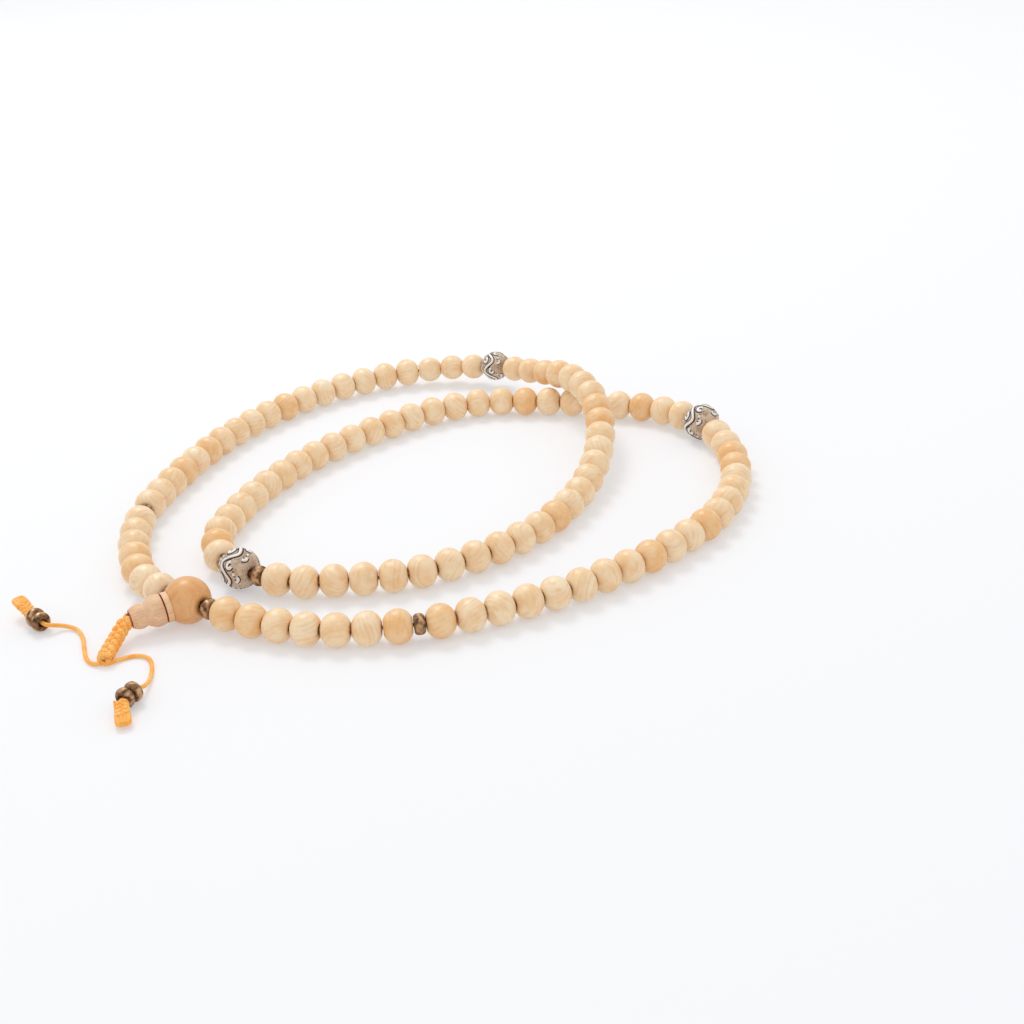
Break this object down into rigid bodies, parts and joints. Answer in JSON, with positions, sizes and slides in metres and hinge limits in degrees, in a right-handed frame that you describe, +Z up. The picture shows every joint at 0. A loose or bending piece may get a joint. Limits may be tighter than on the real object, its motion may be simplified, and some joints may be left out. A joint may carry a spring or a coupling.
{
  "type": "mala prayer beads",
  "caption": "Full strand of round wooden prayer beads in a loose double loop, with brass spacers, carved marker beads, a guru bead with tower, and a braided cord with two weighted tails.",
  "frame": {"origin": "on the table under the middle of the box round the looped strand, without its free tails", "axes": "+Z up from the table; +X to the right and +Y away, with the guru bead at the front left"},
  "size_m": [0.1799, 0.1858, 0.0163],
  "materials": {
    "bead_wood": "satin",
    "guru_wood": "satin",
    "collar_wood": "satin",
    "tower_wood": "matte",
    "marker": "satin",
    "old_brass": "worn",
    "marigold_cord": "matte"
  },
  "bodies": {
    "root": {"stringing_cord": "marigold_cord", "beads_008_to_017": "bead_wood", "beads_018_to_027": "bead_wood", "beads_028_to_036": "bead_wood", "beads_037_to_045": "bead_wood", "beads_046_to_054": "bead_wood", "beads_055_to_063": "bead_wood", "beads_064_to_072": "bead_wood", "beads_073_to_081": "bead_wood", "beads_082_to_091": "bead_wood", "beads_092_to_101": "bead_wood"},
    "guru": {"guru_bead": "guru_wood", "guru_collar": "collar_wood", "tower_cords": "marigold_cord", "braid": "marigold_cord"},
    "tower": {"guru_tower": "tower_wood"},
    "tail_left": {"tail_cord_left": "marigold_cord", "end_knot_left": "marigold_cord"},
    "tail_right": {"tail_cord_right": "marigold_cord", "end_knot_right": "marigold_cord"},
    "spacer_1": {"spacer_1": "old_brass"},
    "bead_001": {"bead_001": "bead_wood"},
    "bead_002": {"bead_002": "bead_wood"},
    "bead_003": {"bead_003": "bead_wood"},
    "bead_004": {"bead_004": "bead_wood"},
    "bead_005": {"bead_005": "bead_wood"},
    "bead_006": {"bead_006": "bead_wood"},
    "bead_007": {"bead_007": "bead_wood"},
    "spacer_2": {"spacer_2": "old_brass"},
    "marker_1": {"marker_1": "marker"},
    "spacer_3": {"spacer_3": "old_brass"},
    "marker_2": {"marker_2": "marker"},
    "spacer_4": {"spacer_4": "old_brass"},
    "marker_3": {"marker_3": "marker"},
    "spacer_5": {"spacer_5": "old_brass"},
    "bead_102": {"bead_102": "bead_wood"},
    "bead_103": {"bead_103": "bead_wood"},
    "bead_104": {"bead_104": "bead_wood"},
    "bead_105": {"bead_105": "bead_wood"},
    "bead_106": {"bead_106": "bead_wood"},
    "bead_107": {"bead_107": "bead_wood"},
    "bead_108": {"bead_108": "bead_wood"},
    "spacer_6": {"spacer_6": "old_brass"},
    "tail_ring_left_1": {"tail_ring_left_1": "old_brass"},
    "tail_ring_left_2": {"tail_ring_left_2": "old_brass"},
    "tail_ring_right_1": {"tail_ring_right_1": "old_brass"},
    "tail_ring_right_2": {"tail_ring_right_2": "old_brass"}
  },
  "joints": [
    {"name": "spacer_1_spin", "type": "hinge", "parent": "root", "child": "spacer_1", "pos_m": [-0.0517, -0.06391, 0.00474], "axis": [0.8589, -0.5084, -0.0623], "continuous": true},
    {"name": "bead_001_spin", "type": "hinge", "parent": "root", "child": "bead_001", "pos_m": [-0.04762, -0.06627, 0.00445], "axis": [0.8651, -0.4978, -0.0612], "continuous": true},
    {"name": "bead_002_spin", "type": "hinge", "parent": "root", "child": "bead_002", "pos_m": [-0.04161, -0.06952, 0.00412], "axis": [0.8948, -0.4454, -0.0303], "continuous": true},
    {"name": "bead_003_spin", "type": "hinge", "parent": "root", "child": "bead_003", "pos_m": [-0.03538, -0.07237, 0.00403], "axis": [0.9176, -0.3976, -0.0031], "continuous": true},
    {"name": "bead_004_spin", "type": "hinge", "parent": "root", "child": "bead_004", "pos_m": [-0.02898, -0.07477, 0.00401], "axis": [0.9629, -0.27, -0.002], "continuous": true},
    {"name": "bead_005_spin", "type": "hinge", "parent": "root", "child": "bead_005", "pos_m": [-0.02226, -0.076, 0.004], "axis": [0.9959, -0.09, -0.0006], "continuous": true},
    {"name": "bead_006_spin", "type": "hinge", "parent": "root", "child": "bead_006", "pos_m": [-0.01542, -0.07623, 0.004], "axis": [0.9998, -0.02, 0], "continuous": true},
    {"name": "bead_007_spin", "type": "hinge", "parent": "root", "child": "bead_007", "pos_m": [-0.00858, -0.0762, 0.004], "axis": [0.9985, 0.0538, 0], "continuous": true},
    {"name": "spacer_2_spin", "type": "hinge", "parent": "root", "child": "spacer_2", "pos_m": [-0.00388, -0.07577, 0.004], "axis": [0.9918, 0.1281, 0], "continuous": true},
    {"name": "marker_1_spin", "type": "hinge", "parent": "root", "child": "marker_1", "pos_m": [0.07124, 0.02259, 0.00515], "axis": [-0.4577, 0.8891, -0.0014], "continuous": true},
    {"name": "spacer_3_spin", "type": "hinge", "parent": "root", "child": "spacer_3", "pos_m": [-0.05058, -0.04106, 0.00448], "axis": [0.5353, -0.8423, 0.063], "continuous": true},
    {"name": "marker_2_spin", "type": "hinge", "parent": "root", "child": "marker_2", "pos_m": [-0.04683, -0.0458, 0.00509], "axis": [0.7267, -0.6869, 0.0093], "continuous": true},
    {"name": "spacer_4_spin", "type": "hinge", "parent": "root", "child": "spacer_4", "pos_m": [-0.04187, -0.04926, 0.00458], "axis": [0.8931, -0.4465, -0.055], "continuous": true},
    {"name": "marker_3_spin", "type": "hinge", "parent": "root", "child": "marker_3", "pos_m": [0.016, 0.07043, 0.00694], "axis": [-0.8159, 0.5659, -0.1184], "continuous": true},
    {"name": "spacer_5_spin", "type": "hinge", "parent": "root", "child": "spacer_5", "pos_m": [-0.07568, -0.00947, 0.004], "axis": [-0.1049, -0.9945, 0], "continuous": true},
    {"name": "bead_102_spin", "type": "hinge", "parent": "root", "child": "bead_102", "pos_m": [-0.07598, -0.01418, 0.004], "axis": [-0.0243, -0.9997, 0], "continuous": true},
    {"name": "bead_103_spin", "type": "hinge", "parent": "root", "child": "bead_103", "pos_m": [-0.0759, -0.02102, 0.004], "axis": [0.0564, -0.9984, 0.0006], "continuous": true},
    {"name": "bead_104_spin", "type": "hinge", "parent": "root", "child": "bead_104", "pos_m": [-0.07515, -0.02782, 0.00401], "axis": [0.1623, -0.9867, 0.0016], "continuous": true},
    {"name": "bead_105_spin", "type": "hinge", "parent": "root", "child": "bead_105", "pos_m": [-0.07369, -0.03451, 0.00402], "axis": [0.2484, -0.9687, 0.0025], "continuous": true},
    {"name": "bead_106_spin", "type": "hinge", "parent": "root", "child": "bead_106", "pos_m": [-0.07187, -0.0411, 0.00405], "axis": [0.3351, -0.9421, 0.0127], "continuous": true},
    {"name": "bead_107_spin", "type": "hinge", "parent": "root", "child": "bead_107", "pos_m": [-0.06887, -0.04723, 0.00423], "axis": [0.5385, -0.8418, 0.0376], "continuous": true},
    {"name": "bead_108_spin", "type": "hinge", "parent": "root", "child": "bead_108", "pos_m": [-0.06469, -0.05264, 0.00455], "axis": [0.6361, -0.77, 0.0502], "continuous": true},
    {"name": "spacer_6_spin", "type": "hinge", "parent": "root", "child": "spacer_6", "pos_m": [-0.06164, -0.05623, 0.00479], "axis": [0.6834, -0.7281, 0.053], "continuous": true},
    {"name": "tail_ring_left_1_spin", "type": "hinge", "parent": "tail_left", "child": "tail_ring_left_1", "pos_m": [-0.091, -0.0607, 0.0025], "axis": [-0.6157, 0.788, 0], "continuous": true},
    {"name": "tail_ring_left_2_spin", "type": "hinge", "parent": "tail_left", "child": "tail_ring_left_2", "pos_m": [-0.0926, -0.05865, 0.0025], "axis": [-0.6157, 0.788, 0], "continuous": true},
    {"name": "tail_ring_right_1_spin", "type": "hinge", "parent": "tail_right", "child": "tail_ring_right_1", "pos_m": [-0.0639, -0.0937, 0.0025], "axis": [-0.5299, -0.848, 0], "continuous": true},
    {"name": "tail_ring_right_2_spin", "type": "hinge", "parent": "tail_right", "child": "tail_ring_right_2", "pos_m": [-0.06528, -0.09591, 0.0025], "axis": [-0.5299, -0.848, 0], "continuous": true},
    {"name": "guru_swing", "type": "hinge", "parent": "root", "child": "guru", "pos_m": [-0.057, -0.0605, 0.0055], "axis": [-0.7934, 0.6088, 0], "range_deg": [0, 60]},
    {"name": "tower_turn", "type": "hinge", "parent": "guru", "child": "tower", "pos_m": [-0.057, -0.0605, 0.0055], "axis": [-0.9041, -0.4216, -0.0698], "continuous": true},
    {"name": "tail_left_swing", "type": "hinge", "parent": "guru", "child": "tail_left", "pos_m": [-0.0741, -0.0785, 0.0009], "axis": [0, 0, 1], "range_deg": [-4, 15]},
    {"name": "tail_right_swing", "type": "hinge", "parent": "guru", "child": "tail_right", "pos_m": [-0.0723, -0.0785, 0.0009], "axis": [0, 0, 1], "range_deg": [-15, 4]}
  ]
}
